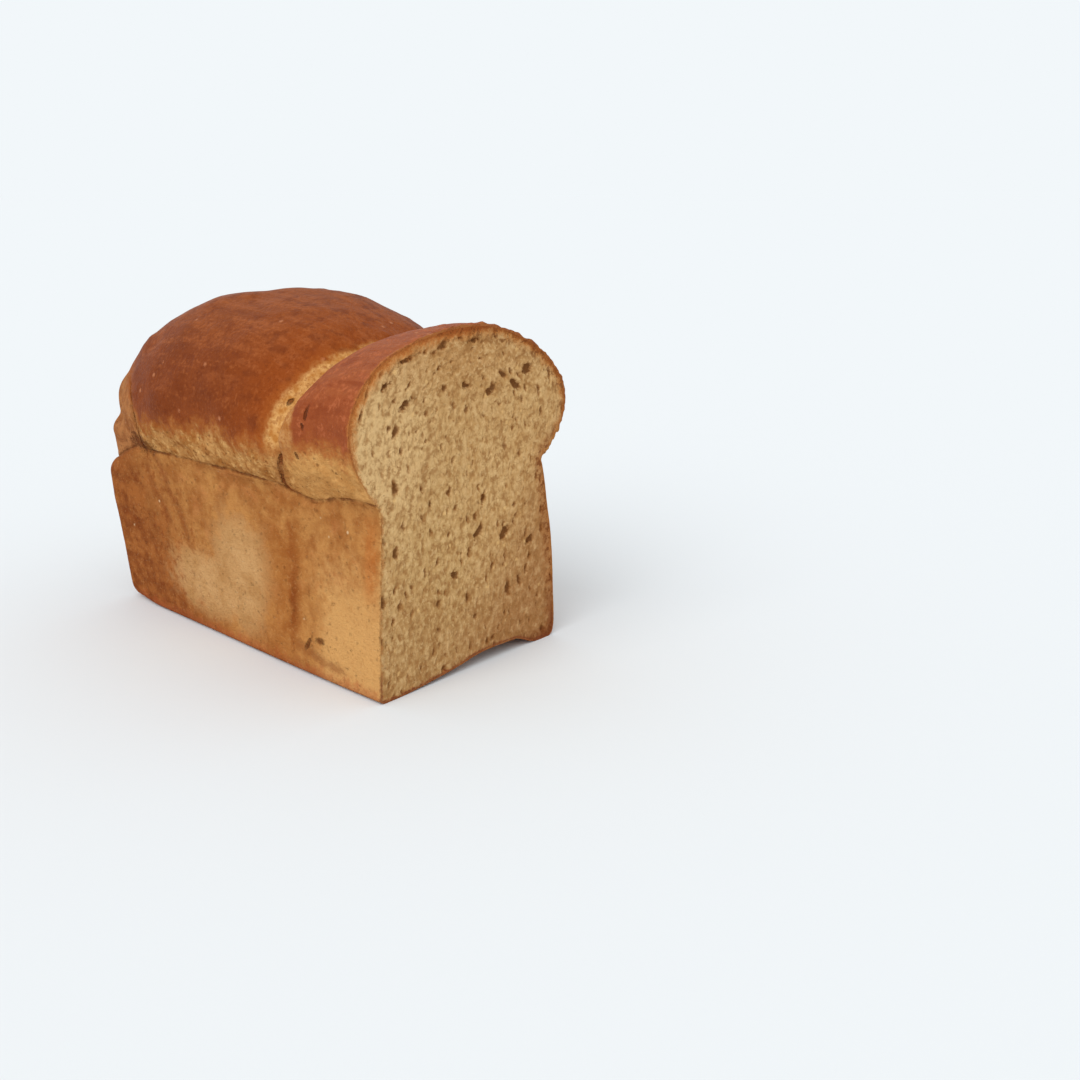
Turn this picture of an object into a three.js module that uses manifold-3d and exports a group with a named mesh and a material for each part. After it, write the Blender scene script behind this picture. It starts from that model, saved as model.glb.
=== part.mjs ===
// A cut tin loaf of brown bread: the far end of a loaf baked in an open tin, with one flat cut face.
// Millimetres, +Z up. +X runs along the loaf towards the cut face, and the origin is the middle of its base.
// Inside the functions, s is the distance from the cut face, y runs across the loaf and z is the height.
import * as THREE from "three";
import { mergeVertices } from "three/addons/utils/BufferGeometryUtils.js";
import Module from "manifold-3d";

// Where the loaf stands in its frame
const CUT_X = 104.73; // the cut face
const MIDDLE_Y = 1.35; // brings the middle of the base onto the origin

// The lower part, which the tin shaped
const TIN = {
  length: 201, // from the cut face to the far wall, at the base
  halfWidth: 50.5, // far from the cut, at the base
  taper: 4, // how far the walls lean out by the height of the rim
  taperHeight: 75,
  cornerRadius: 9,
  edgeRadius: 3,
  farEdgeRadius: 8, // softer shoulders at the far end
  softReach: [170, 198],
};
// Half widths at the cut, and where they pass into the far one: the right wall is pulled in above its middle
const NEAR_LEFT = { base: 54, rim: 49.4, height: 80, reach: [20, 190] };
const NEAR_RIGHT = { base: 52.8, pinch: 8.5, from: 38, over: 48, bend: 1.7, reach: [30, 180] };
const RIM = {
  left: 82.5,
  right: 86.5,
  rightFall: 3,
  rightFallReach: [10, 120],
  crossing: 20, // the left height passes into the right one within this distance of the middle
  dip: 5.5, // the left rim sinks under the seam of the two lobes
  dipAt: 44,
  dipWidth: 17,
  far: 73.5, // height at the far end
  farReach: [168, 198],
};
const ARCH = { height: 5.2, rise: [-48, 18], fall: [26, 42], length: 105 }; // hollow under the cut end
// An upright dent in the wall, below the seam of the lobes
const WALL_SEAM = { at: 49, width: 6.5, depth: 1.3, bottom: [6, 22], top: [58, 74] };

// The two risen lobes and the torn band under them
const FRONT_LOBE = {
  middle: 16, // along the loaf
  reachNear: 40.5,
  reachFar: 39.5,
  across: -2,
  half: 62,
  height: 112, // of its widest level
  rise: 36.2,
  dropLeft: 48,
  dropRight: 38,
  round: 2.02,
  roundTopRight: 1.86,
  squareLow: 8, // boxy in plan near the rim
  squareHigh: 2.8,
  alongPower: 2, // above 1 its ridge stays level for longer
  lean: 0.36, // the seam runs towards the cut as it climbs
};
const REAR_LOBE = {
  middle: 112,
  reachNear: 87.5,
  reachFar: 97.5,
  across: 0,
  half: 60.5,
  height: 106,
  rise: 50.5,
  dropLeft: 50,
  dropRight: 48,
  round: 2,
  roundTopRight: 2,
  squareLow: 4.5,
  squareHigh: 2.48,
  alongPower: 1,
  lean: 0,
};
const LEAN = { zero: 92, from: 80, to: 160 }; // heights between which a lobe leans
// Where a lobe changes its form, measured from its widest level and its middle
const LOBE_CHANGE = { square: [-24, 20], round: [-12, 8], sides: 20 };
const FIELD_SCALE = 0.8; // turns a lobe's unitless field into about millimetres
const NECK = { inset: 1.2, lean: 0.22, endInset: 3.2, top: 94, bottom: 50, corner: 18, edge: 7 };
const BLEND = { lobes: 3, neck: 4, rim: 1.2, farRim: 6 };
const END_FOLD = { at: 188, across: -50, width: 4.5, depth: 1.6, bottom: [78, 86], top: [96, 112] };

// Low uneven swells: each wave has its height, its lengths along, across and up, and its shifts in radians
const SWELLS = [
  { height: 0.88, length: [88, 76, 98], shift: [0.9, 0.4, 1.1] },
  { height: 0.55, length: [46, 42, 49], shift: [2.1, 1.7, 0.2] },
  { height: 0.28, length: [24, 27, 22], shift: [0.3, 2.4, 1.9] },
];
const SWELL_START = [1, 6]; // none on the flat base, all from here up

// The lattice that the surface is sampled on
const AXIS_NEAR = 83; // height of the loaf's inner axis at the cut
const AXIS_FALL = [50, 138]; // where it comes down to the height of the far rim
const CAP_CENTRE = 138; // past this the lattice turns round the far end
const SIDE = 30; // across the loaf, a place that is well to one side
const ARC_COUNTS = { dome: 42, wall: 20, base: 14 };
const EASING = 0.6; // draws the lattice lines together near the rims and the base edges
const RING_STEPS = [
  { from: 0, to: 18, count: 3 },
  { from: 18, to: 60, count: 14 },
  { from: 60, to: CAP_CENTRE, count: 10 },
];
const WALL_STEPS = [0, 0.2, 0.4, 0.58, 0.72, 0.82, 0.89, 0.95, 1]; // from there to the far corners
const END_STEPS = [0.955, 0.9, 0.83, 0.73, 0.6, 0.45, 0.3, 0.15]; // from the corners to the middle of the end
const MARCH = { first: 4, stride: 2.5, halvings: 26 };
const BASE_SNAP = 0.02;

// The widest crumb holes: place on the cut face (across, height), length, width, tilt in degrees
const WIDE_PORES = [
  [21, 57, 7, 4, 50],
  [29, 121, 8, 3.4, 140],
  [36, 127, 6, 4.4, 20],
  [-34, 121, 7.5, 2.7, 28],
  [37, 50, 5.6, 3, 25],
  [-32, 138, 11, 1.6, 18],
  [-14, 141, 5, 1.8, 15],
  [4, 142, 5.4, 1.8, 8],
  [4, 60, 5.4, 3, 45],
  [-1, 124, 6, 2.4, 165],
  [13, 120, 4.4, 3.2, 165],
  [8, 75, 6, 2, 70],
  [-10, 45, 4, 3, 130],
  [-44, 129, 5.4, 2, 20],
];
// The finer ones are drawn at random: along the crust above the level of the dome, and upright below it
const FINE_PORES = { count: 46, seed: 11, length: [1.8, 4.6], slim: 0.56, turn: 40, margin: 3.5, gap: 1.2 };
const CRUMB_BOX = { across: 58, bottom: 5, top: 145 };
const DOME_LEVEL = 96;
const DOME_CENTRE = 104;
const PORE_DEPTH = 0.9; // of their width
const BALL_FACETS = [7, 4];

// Small pits and cracks in the crust of the long side: distance from the cut, height, length, width, tilt
const PITS = [
  [53, 118, 4, 2.6, 80],
  [27, 118, 6, 1.8, 80],
  [27, 113, 3.2, 1.6, 90],
  [34, 100, 3, 1.8, 90],
  [161, 85, 4.5, 2.8, 10],
  [47, 16, 6, 2, 50],
  [39, 17, 5, 1.6, 20],
  [32, 20, 6, 2, 120],
];
const PIT_DEPTH = 2; // half of it lies under the crust

const CRUST_COLOUR = 0xa5622f;

const clamp = (v, low, high) => Math.min(Math.max(v, low), high);
const mix = (a, b, t) => a + (b - a) * t;
const smooth = ([from, to], v) => {
  const t = clamp((v - from) / (to - from), 0, 1);
  return t * t * (3 - 2 * t);
};
const bell = (v, middle, width) => Math.exp(-(((v - middle) / width) ** 2));
const radians = (degrees) => (degrees * Math.PI) / 180;

// The lower of two distances, with their crossing rounded over the width k
const blend = (a, b, k) => {
  const h = Math.max(k - Math.abs(a - b), 0) / k;
  return Math.min(a, b) - (h * h * k) / 4;
};

// Distance to the edge between two faces, rounded by the radius r
const corner = (a, b, r) => {
  const p = a + r;
  const q = b + r;
  return Math.hypot(Math.max(p, 0), Math.max(q, 0)) + Math.min(Math.max(p, q), 0) - r;
};

function leftHalfWidth(s, z, far) {
  const near = mix(NEAR_LEFT.base, NEAR_LEFT.rim, smooth([0, NEAR_LEFT.height], z));
  const dent = WALL_SEAM.depth * bell(s, WALL_SEAM.at, WALL_SEAM.width);
  const shown = smooth(WALL_SEAM.bottom, z) * (1 - smooth(WALL_SEAM.top, z));
  return mix(near, far, smooth(NEAR_LEFT.reach, s)) - dent * shown;
}

function rightHalfWidth(s, z, far) {
  const pulled = NEAR_RIGHT.pinch * clamp((z - NEAR_RIGHT.from) / NEAR_RIGHT.over, 0, 1.3) ** NEAR_RIGHT.bend;
  return mix(NEAR_RIGHT.base - pulled, far, smooth(NEAR_RIGHT.reach, s));
}

function wallHalfWidth(s, y, z) {
  const far = TIN.halfWidth + (TIN.taper * z) / TIN.taperHeight;
  return y < 0 ? leftHalfWidth(s, z, far) : rightHalfWidth(s, z, far);
}

function farWall(z) {
  return TIN.length + (TIN.taper * clamp(z, 0, 1.2 * TIN.taperHeight)) / TIN.taperHeight;
}

function rimHeight(s, y) {
  const left = RIM.left - RIM.dip * bell(s, RIM.dipAt, RIM.dipWidth);
  const right = RIM.right - RIM.rightFall * smooth(RIM.rightFallReach, s);
  const sides = mix(left, right, smooth([-RIM.crossing, RIM.crossing], y));
  return mix(sides, RIM.far, smooth(RIM.farReach, s));
}

function archHeight(s, y) {
  const across = smooth(ARCH.rise, y) * (1 - smooth(ARCH.fall, y));
  return ARCH.height * across * (1 - smooth([0, ARCH.length], s));
}

// 0 along the loaf, and 1 at its far end
const nearEnd = (s) => smooth(TIN.softReach, s);

function tinBlock(s, y, z) {
  const side = Math.abs(y) - wallHalfWidth(s, y, z);
  const plan = corner(side, s - farWall(z), TIN.cornerRadius);
  const edge = mix(TIN.edgeRadius, TIN.farEdgeRadius, nearEnd(s));
  return corner(plan, Math.max(z - rimHeight(s, y), archHeight(s, y) - z), edge);
}

// The torn band between the rim and the browned top
function neckBand(s, y, z) {
  const rim = rimHeight(s, y);
  const side = Math.abs(y) - (wallHalfWidth(s, y, rim) - NECK.inset + NECK.lean * (z - rim));
  const plan = corner(side, s - (farWall(rim) - NECK.endInset), NECK.corner);
  return corner(plan, Math.max(z - NECK.top, NECK.bottom - z), NECK.edge);
}

// One risen lobe: boxy in plan near the rim and rounder towards its top
function risenLobe(lobe, s, y, z) {
  const along = s - lobe.middle + lobe.lean * (clamp(z, LEAN.from, LEAN.to) - LEAN.zero);
  const reach = along < 0 ? lobe.reachNear : lobe.reachFar;
  const drop = y < lobe.across ? lobe.dropLeft : lobe.dropRight;
  const span = z > lobe.height ? lobe.rise : drop;
  const above = smooth(LOBE_CHANGE.square, z - lobe.height);
  const square = mix(lobe.squareLow, lobe.squareHigh, above);
  const run = Math.abs(along / reach) ** mix(1, lobe.alongPower, above);
  const plan = (run ** square + Math.abs((y - lobe.across) / lobe.half) ** square) ** (1 / square);
  const right = smooth([-LOBE_CHANGE.sides, LOBE_CHANGE.sides], y - lobe.across);
  const round = mix(lobe.round, lobe.roundTopRight, right * smooth(LOBE_CHANGE.round, z - lobe.height));
  const level = (plan ** round + Math.abs((z - lobe.height) / span) ** round) ** (1 / round);
  return (level - 1) * FIELD_SCALE * lobe.half;
}

function swells(s, y, z) {
  const wave = ({ height, length, shift }) =>
    [s, y, z].reduce((product, v, k) => product * Math.sin((2 * Math.PI * v) / length[k] + shift[k]), height);
  return SWELLS.reduce((sum, swell) => sum + wave(swell), 0) * smooth(SWELL_START, z);
}

// An upright fold at the far corner, above the rim
function endFold(s, y, z) {
  const near = bell(s, END_FOLD.at, END_FOLD.width) * bell(y, END_FOLD.across, END_FOLD.width);
  return END_FOLD.depth * near * smooth(END_FOLD.bottom, z) * (1 - smooth(END_FOLD.top, z));
}

// Below zero inside the loaf, and about the distance to its surface in millimetres
function loafField(s, y, z) {
  const lobes = blend(risenLobe(FRONT_LOBE, s, y, z), risenLobe(REAR_LOBE, s, y, z), BLEND.lobes);
  const risen = blend(lobes, neckBand(s, y, z), BLEND.neck);
  const body = blend(risen, tinBlock(s, y, z), mix(BLEND.rim, BLEND.farRim, nearEnd(s)));
  return body + swells(s, y, z) + endFold(s, y, z);
}

// Where a ray from inside first leaves the loaf
function surfacePoint(origin, direction) {
  const at = new THREE.Vector3();
  const inside = (t) => {
    at.copy(origin).addScaledVector(direction, t);
    return loafField(at.x, at.y, at.z) < 0;
  };
  let low = MARCH.first;
  while (inside(low + MARCH.stride)) low += MARCH.stride;
  let high = low + MARCH.stride;
  for (let i = 0; i < MARCH.halvings; i++) {
    const middle = (low + high) / 2;
    if (inside(middle)) low = middle;
    else high = middle;
  }
  return origin.clone().addScaledVector(direction, (low + high) / 2);
}

const axisHeight = (s) => mix(AXIS_NEAR, RIM.far, smooth(AXIS_FALL, s));

// Angles round the axis, with lattice lines held on both rims and both base edges
function arcAngles(s) {
  const place = Math.min(s, TIN.length);
  const axis = axisHeight(place);
  const whole = 2 * Math.PI;
  const angleTo = (side, z) => Math.atan2(z - axis, side * wallHalfWidth(place, side, z));
  const rightRim = angleTo(1, rimHeight(place, SIDE));
  const leftRim = (angleTo(-1, rimHeight(place, -SIDE)) + whole) % whole;
  const stretches = [
    { from: rightRim, to: leftRim, count: ARC_COUNTS.dome },
    { from: leftRim, to: angleTo(-1, 0) + whole, count: ARC_COUNTS.wall },
    { from: angleTo(-1, 0) + whole, to: angleTo(1, 0) + whole, count: ARC_COUNTS.base },
    { from: angleTo(1, 0) + whole, to: rightRim + whole, count: ARC_COUNTS.wall },
  ];
  return stretches.flatMap(({ from, to, count }) =>
    Array.from({ length: count }, (_, i) => {
      const t = i / count;
      return mix(from, to, t - (EASING * Math.sin(whole * t)) / whole);
    }),
  );
}

// The ring round the axis at s, and farther on the ring of a box whose far end shrinks to a point:
// each of its points is drawn along a ray from the middle of the far part
function latticeRing(s, shrink) {
  const place = Math.min(s, CAP_CENTRE);
  const origin = new THREE.Vector3(place, 0, axisHeight(place));
  return arcAngles(s).map((angle) => {
    const across = new THREE.Vector3(0, Math.cos(angle), Math.sin(angle));
    if (s <= CAP_CENTRE) return surfacePoint(origin, across);
    const spread = surfacePoint(origin, across).sub(origin).multiplyScalar(shrink);
    return surfacePoint(origin, spread.setX(s - CAP_CENTRE).normalize());
  });
}

// Rings of points from the cut face to the middle of the far end
function latticeRings() {
  const places = RING_STEPS.flatMap(({ from, to, count }) =>
    Array.from({ length: count }, (_, i) => mix(from, to, i / count)),
  );
  return [
    ...places.map((s) => latticeRing(s, 1)),
    ...WALL_STEPS.map((step) => latticeRing(mix(CAP_CENTRE, TIN.length, step), 1)),
    ...END_STEPS.map((step) => latticeRing(TIN.length, step)),
  ];
}

function loafGeometry() {
  const rings = latticeRings();
  const round = rings[0].length;
  const points = rings.flat();
  const index = [];
  for (let r = 0; r + 1 < rings.length; r++) {
    for (let i = 0; i < round; i++) {
      const j = (i + 1) % round;
      const [a, b, c, d] = [r * round + i, r * round + j, (r + 1) * round + j, (r + 1) * round + i];
      index.push(a, c, b, a, d, c);
    }
  }
  const farAxis = new THREE.Vector3(CAP_CENTRE, 0, axisHeight(CAP_CENTRE));
  const cutMiddle = points.push(new THREE.Vector3(0, 0, AXIS_NEAR)) - 1;
  const farMiddle = points.push(surfacePoint(farAxis, new THREE.Vector3(1, 0, 0))) - 1;
  const last = (rings.length - 1) * round;
  for (let i = 0; i < round; i++) {
    const j = (i + 1) % round;
    index.push(cutMiddle, i, j);
    index.push(farMiddle, last + j, last + i);
  }
  const placed = points.map((p) => new THREE.Vector3(-p.x, p.y, Math.abs(p.z) < BASE_SNAP ? 0 : p.z));
  return new THREE.BufferGeometry().setFromPoints(placed).setIndex(index);
}

// A seeded draw from 0 to 1
function seededDraw(seed) {
  let state = seed;
  return () => {
    state = (Math.imul(state, 1664525) + 1013904223) >>> 0;
    return state / 2 ** 32;
  };
}

// Fine holes, kept clear of the wide ones, of each other and of the crust
function finePores() {
  const draw = seededDraw(FINE_PORES.seed);
  const pores = [];
  while (pores.length < FINE_PORES.count) {
    const y = mix(-CRUMB_BOX.across, CRUMB_BOX.across, draw());
    const z = mix(CRUMB_BOX.bottom, CRUMB_BOX.top, draw());
    const length = mix(...FINE_PORES.length, draw() ** 2);
    const turn = mix(-1, 1, draw()) * FINE_PORES.turn;
    const grain = z > DOME_LEVEL ? (Math.atan2(-y, z - DOME_CENTRE) * 180) / Math.PI : 90;
    const apart = ([py, pz, pl]) => Math.hypot(py - y, pz - z) > (pl + length) / 2 + FINE_PORES.gap;
    const clear = [...WIDE_PORES, ...pores].every(apart);
    if (clear && loafField(0, y, z) < -FINE_PORES.margin) {
      pores.push([y, z, length, length * FINE_PORES.slim, grain + turn]);
    }
  }
  return pores;
}

// A crumb hole: a low-sided ball, stretched and sunk into the cut face
function poreGeometry([y, z, length, width, tilt]) {
  const ball = new THREE.SphereGeometry(0.5, ...BALL_FACETS);
  ball.scale(width * PORE_DEPTH, length, width);
  ball.rotateX(radians(tilt));
  ball.translate(0, y, z);
  return ball;
}

// A pit: the same ball, flattened against the crust where the long side is at that place
function pitGeometry([s, z, length, width, tilt]) {
  const place = surfacePoint(new THREE.Vector3(s, 0, z), new THREE.Vector3(0, -1, 0));
  const ball = new THREE.SphereGeometry(0.5, ...BALL_FACETS);
  ball.scale(length, PIT_DEPTH, width);
  ball.rotateY(radians(tilt));
  ball.translate(-place.x, place.y, place.z);
  return ball;
}

const wasm = await Module();
wasm.setup();

function toSolid(geometry) {
  const bare = geometry.clone();
  bare.deleteAttribute("normal");
  bare.deleteAttribute("uv");
  const merged = mergeVertices(bare, 1e-4);
  const corners = merged.index.array;
  const kept = [];
  for (let i = 0; i < corners.length; i += 3) {
    const [a, b, c] = [corners[i], corners[i + 1], corners[i + 2]];
    if (a !== b && b !== c && c !== a) kept.push(a, b, c);
  }
  return new wasm.Manifold(
    new wasm.Mesh({
      numProp: 3,
      vertProperties: new Float32Array(merged.attributes.position.array),
      triVerts: new Uint32Array(kept),
    }),
  );
}

function toGeometry(solid) {
  const mesh = solid.getMesh();
  return new THREE.BufferGeometry()
    .setAttribute("position", new THREE.BufferAttribute(new Float32Array(mesh.vertProperties), 3))
    .setIndex(new THREE.BufferAttribute(new Uint32Array(mesh.triVerts), 1));
}

function cutLoaf() {
  const pores = [...WIDE_PORES, ...finePores()].map(poreGeometry);
  const holes = [...pores, ...PITS.map(pitGeometry)];
  const solid = holes.reduce((rest, hole) => rest.subtract(toSolid(hole)), toSolid(loafGeometry()));
  const geometry = toGeometry(solid);
  geometry.translate(CUT_X, MIDDLE_Y, 0);
  geometry.computeVertexNormals();
  return geometry;
}

const crust = new THREE.MeshStandardMaterial({ color: CRUST_COLOUR, roughness: 0.62, metalness: 0 });
const loaf = new THREE.Mesh(cutLoaf(), crust);
loaf.name = "loaf";

const part = new THREE.Group();
part.add(loaf);

export default part;
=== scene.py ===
"""A cut tin loaf of brown bread, dressed over its solid.

The loaf's own sizes are in millimetres, as in its solid: s is the distance from the cut face, y runs across
the loaf from its middle and z is the height. Meshes are turned into metres in the loaf's frame at the end.
"""
import math

import bpy
import numpy as np
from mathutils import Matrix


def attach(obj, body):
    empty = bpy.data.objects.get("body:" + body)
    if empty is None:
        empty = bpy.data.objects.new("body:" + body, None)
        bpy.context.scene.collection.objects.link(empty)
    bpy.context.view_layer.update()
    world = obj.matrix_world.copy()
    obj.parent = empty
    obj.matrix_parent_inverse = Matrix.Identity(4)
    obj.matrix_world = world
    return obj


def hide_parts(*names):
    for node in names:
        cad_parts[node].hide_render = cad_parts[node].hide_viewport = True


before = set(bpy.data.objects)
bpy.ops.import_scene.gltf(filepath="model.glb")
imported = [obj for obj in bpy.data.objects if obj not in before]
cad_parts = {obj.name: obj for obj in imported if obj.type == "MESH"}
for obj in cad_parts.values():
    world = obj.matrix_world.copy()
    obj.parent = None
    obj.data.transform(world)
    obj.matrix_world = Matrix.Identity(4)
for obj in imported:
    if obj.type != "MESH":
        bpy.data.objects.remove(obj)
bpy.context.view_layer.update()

# Where the loaf stands in its frame
CUT_X = 104.73
MIDDLE_Y = 1.35
METRE = 1000.0
# A distance that stands for nothing near, and the least slope and length to divide by
FAR = 99.0
LEAST_SLOPE = 0.3
LEAST_LENGTH = 1e-6

# The lower part, which the tin shaped
TIN = {
    "length": 201, "half_width": 50.5, "taper": 4, "taper_height": 75, "taper_top": 90,
    "corner_radius": 9, "edge_radius": 3, "far_edge_radius": 8, "soft_reach": (170, 198),
}
NEAR_LEFT = {"base": 54, "rim": 49.4, "height": 80, "reach": (20, 190)}
NEAR_RIGHT = {
    "base": 52.8, "pinch": 8.5, "start": 38, "over": 48, "most": 1.3, "bend": 1.7, "reach": (30, 180),
}
RIM = {
    "left": 82.5, "right": 86.5, "right_fall": 3, "right_fall_reach": (10, 120),
    "crossing": (-20, 20), "dip": 5.5, "dip_at": 44, "dip_width": 17, "far": 73.5,
    "far_reach": (168, 198),
}
ARCH = {"height": 5.2, "rise": (-48, 18), "fall": (26, 42), "length": 105}
WALL_SEAM = {"at": 49, "width": 6.5, "depth": 1.3, "bottom": (6, 22), "top": (58, 74)}

# The two risen lobes and the torn band under them
FRONT_LOBE = {
    "middle": 16, "reach_near": 40.5, "reach_far": 39.5, "across": -2, "half": 62, "height": 112,
    "rise": 36.2, "drop_left": 48, "drop_right": 38, "round": 2.02, "round_top_right": 1.86,
    "square_low": 8, "square_high": 2.8, "along_power": 2, "lean": 0.36,
}
REAR_LOBE = {
    "middle": 112, "reach_near": 87.5, "reach_far": 97.5, "across": 0, "half": 60.5, "height": 106,
    "rise": 50.5, "drop_left": 50, "drop_right": 48, "round": 2, "round_top_right": 2,
    "square_low": 4.5, "square_high": 2.48, "along_power": 1, "lean": 0,
}
LEAN = {"zero": 92, "start": 80, "end": 160}
LOBE_CHANGE = {"square": (-24, 20), "round": (-12, 8), "sides": (-20, 20)}
FIELD_SCALE = 0.8
NECK = {
    "inset": 1.2, "lean": 0.22, "end_inset": 3.2, "top": 94, "bottom": 50, "corner": 18, "edge": 7,
}
BLEND = {"lobes": 3, "neck": 4, "rim": 1.2, "far_rim": 6}
END_FOLD = {"at": 188, "across": -50, "width": 4.5, "depth": 1.6, "bottom": (78, 86), "top": (96, 112)}
# Low uneven swells: height, lengths along, across and up, and shifts in radians
SWELLS = (
    (0.88, (88, 76, 98), (0.9, 0.4, 1.1)),
    (0.55, (46, 42, 49), (2.1, 1.7, 0.2)),
    (0.28, (24, 27, 22), (0.3, 2.4, 1.9)),
)
SWELL_START = (1, 6)

# The lattice of points that the crust is drawn on
AXIS_NEAR = 83
AXIS_FALL = (50, 138)
CAP_CENTRE = 138
ARC_COUNTS = {"dome": 180, "wall": 74, "base": 28}
EASING = 0.6
RING_STEPS = ((0, 8, 8), (8, 36, 28), (36, 62, 44), (62, CAP_CENTRE, 62))
WALL_RINGS = 54
END_RINGS = 40
STEP_EASE = 1.45
MARCH = {"first": 4.0, "stride": 2.5, "halvings": 22}
BASE_SNAP = 0.02
# Relief moves the crust only across at the cut, and not at all at the base
CUT_SQUARING = (0, 4)
LOOSE_FROM_BASE = (0.5, 5)

# The cut: a thin edge of crust, and the crumb set into it
EDGE_WIDTH = 0.6
POCKET_DEPTH = 4.4
CRUMB_DEPTH = 4.1
POCKET_NARROWING = 0.035
CRUMB_OVERLAP = 0.12
CRUMB_RECESS = 0.05
# The grid that the crumb is drawn on, and how its border is brought to the crust
CRUMB_CELL = 0.41
CRUMB_SPAN = 64
CRUMB_TOP = 152
CELL_MARGIN = 0.45
BORDER_ROUNDS = 4
BORDER_STEP = 0.3
FACE_EASE = (0.05, 1.1)
# Above this level the crumb's grain runs round this height, and below it the grain is upright
DOME_CENTRE = 104
DOME_LEVEL = (88, 104)
# The widest crumb holes: across, height, length, width, tilt in degrees
WIDE_HOLES = (
    (21, 57, 7, 4, 50), (29, 121, 8, 3.4, 140), (36, 127, 6, 4.4, 20), (-34, 121, 7.5, 2.7, 28),
    (37, 50, 5.6, 3, 25), (-32, 138, 11, 1.6, 18), (-14, 141, 5, 1.8, 15), (4, 142, 5.4, 1.8, 8),
    (4, 60, 5.4, 3, 45), (-1, 124, 6, 2.4, 165), (13, 120, 4.4, 3.2, 165), (8, 75, 6, 2, 70),
    (-10, 45, 4, 3, 130), (-44, 129, 5.4, 2, 20),
)
# Small pits and cracks in the crust of the long side: distance from the cut, height, length, width, tilt
PITS = (
    (53, 117.5, 2.2, 1.8, 80), (26, 118, 4.4, 1.5, 75), (28, 113, 2.4, 1.4, 90),
    (34, 100, 2.2, 1.6, 90), (163, 86, 16, 7, 170), (45.5, 15.5, 6.5, 2, 58), (37.5, 18, 4, 2.6, 5),
)


def mix(a, b, share):
    return a + (b - a) * share


def smooth(reach, v):
    t = np.clip((v - reach[0]) / (reach[1] - reach[0]), 0, 1)
    return t * t * (3 - 2 * t)


def bell(v, middle, width):
    return np.exp(-(((v - middle) / width) ** 2))


def merged(a, b, width):
    """The lower of two distances, with their crossing rounded over the width."""
    h = np.maximum(width - np.abs(a - b), 0) / width
    return np.minimum(a, b) - h * h * width / 4


def corner(a, b, radius):
    """Distance to the rounded edge between two faces."""
    p = a + radius
    q = b + radius
    return np.hypot(np.maximum(p, 0), np.maximum(q, 0)) + np.minimum(np.maximum(p, q), 0) - radius


def wall_half_width(s, y, z):
    far = TIN["half_width"] + TIN["taper"] * z / TIN["taper_height"]
    near_left = mix(NEAR_LEFT["base"], NEAR_LEFT["rim"], smooth((0, NEAR_LEFT["height"]), z))
    dent = WALL_SEAM["depth"] * bell(s, WALL_SEAM["at"], WALL_SEAM["width"])
    shown = smooth(WALL_SEAM["bottom"], z) * (1 - smooth(WALL_SEAM["top"], z))
    left = mix(near_left, far, smooth(NEAR_LEFT["reach"], s)) - dent * shown
    climb = np.clip((z - NEAR_RIGHT["start"]) / NEAR_RIGHT["over"], 0, NEAR_RIGHT["most"])
    near_right = NEAR_RIGHT["base"] - NEAR_RIGHT["pinch"] * climb ** NEAR_RIGHT["bend"]
    right = mix(near_right, far, smooth(NEAR_RIGHT["reach"], s))
    return np.where(y < 0, left, right)


def far_wall(z):
    return TIN["length"] + TIN["taper"] * np.clip(z, 0, TIN["taper_top"]) / TIN["taper_height"]


def rim_height(s, y):
    left = RIM["left"] - RIM["dip"] * bell(s, RIM["dip_at"], RIM["dip_width"])
    right = RIM["right"] - RIM["right_fall"] * smooth(RIM["right_fall_reach"], s)
    sides = mix(left, right, smooth(RIM["crossing"], y))
    return mix(sides, RIM["far"], smooth(RIM["far_reach"], s))


def near_end(s):
    """0 along the loaf, and 1 at its far end."""
    return smooth(TIN["soft_reach"], s)


def tin_block(s, y, z):
    across = smooth(ARCH["rise"], y) * (1 - smooth(ARCH["fall"], y))
    arch = ARCH["height"] * across * (1 - smooth((0, ARCH["length"]), s))
    side = np.abs(y) - wall_half_width(s, y, z)
    plan = corner(side, s - far_wall(z), TIN["corner_radius"])
    edge = mix(TIN["edge_radius"], TIN["far_edge_radius"], near_end(s))
    return corner(plan, np.maximum(z - rim_height(s, y), arch - z), edge)


def neck_band(s, y, z):
    """The torn band between the rim and the browned top."""
    rim = rim_height(s, y)
    side = np.abs(y) - (wall_half_width(s, y, rim) - NECK["inset"] + NECK["lean"] * (z - rim))
    plan = corner(side, s - (far_wall(rim) - NECK["end_inset"]), NECK["corner"])
    return corner(plan, np.maximum(z - NECK["top"], NECK["bottom"] - z), NECK["edge"])


def risen_lobe(lobe, s, y, z):
    """One risen lobe: boxy in plan near the rim and rounder towards its top."""
    lift = np.clip(z, LEAN["start"], LEAN["end"]) - LEAN["zero"]
    along = s - lobe["middle"] + lobe["lean"] * lift
    reach = np.where(along < 0, lobe["reach_near"], lobe["reach_far"])
    drop = np.where(y < lobe["across"], lobe["drop_left"], lobe["drop_right"])
    span = np.where(z > lobe["height"], lobe["rise"], drop)
    above = smooth(LOBE_CHANGE["square"], z - lobe["height"])
    square = mix(lobe["square_low"], lobe["square_high"], above)
    run = np.abs(along / reach) ** mix(1, lobe["along_power"], above)
    breadth = np.abs((y - lobe["across"]) / lobe["half"])
    plan = (run**square + breadth**square) ** (1 / square)
    right = smooth(LOBE_CHANGE["sides"], y - lobe["across"])
    turned = right * smooth(LOBE_CHANGE["round"], z - lobe["height"])
    power = mix(lobe["round"], lobe["round_top_right"], turned)
    level = (plan**power + np.abs((z - lobe["height"]) / span) ** power) ** (1 / power)
    return (level - 1) * FIELD_SCALE * lobe["half"]


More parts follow.
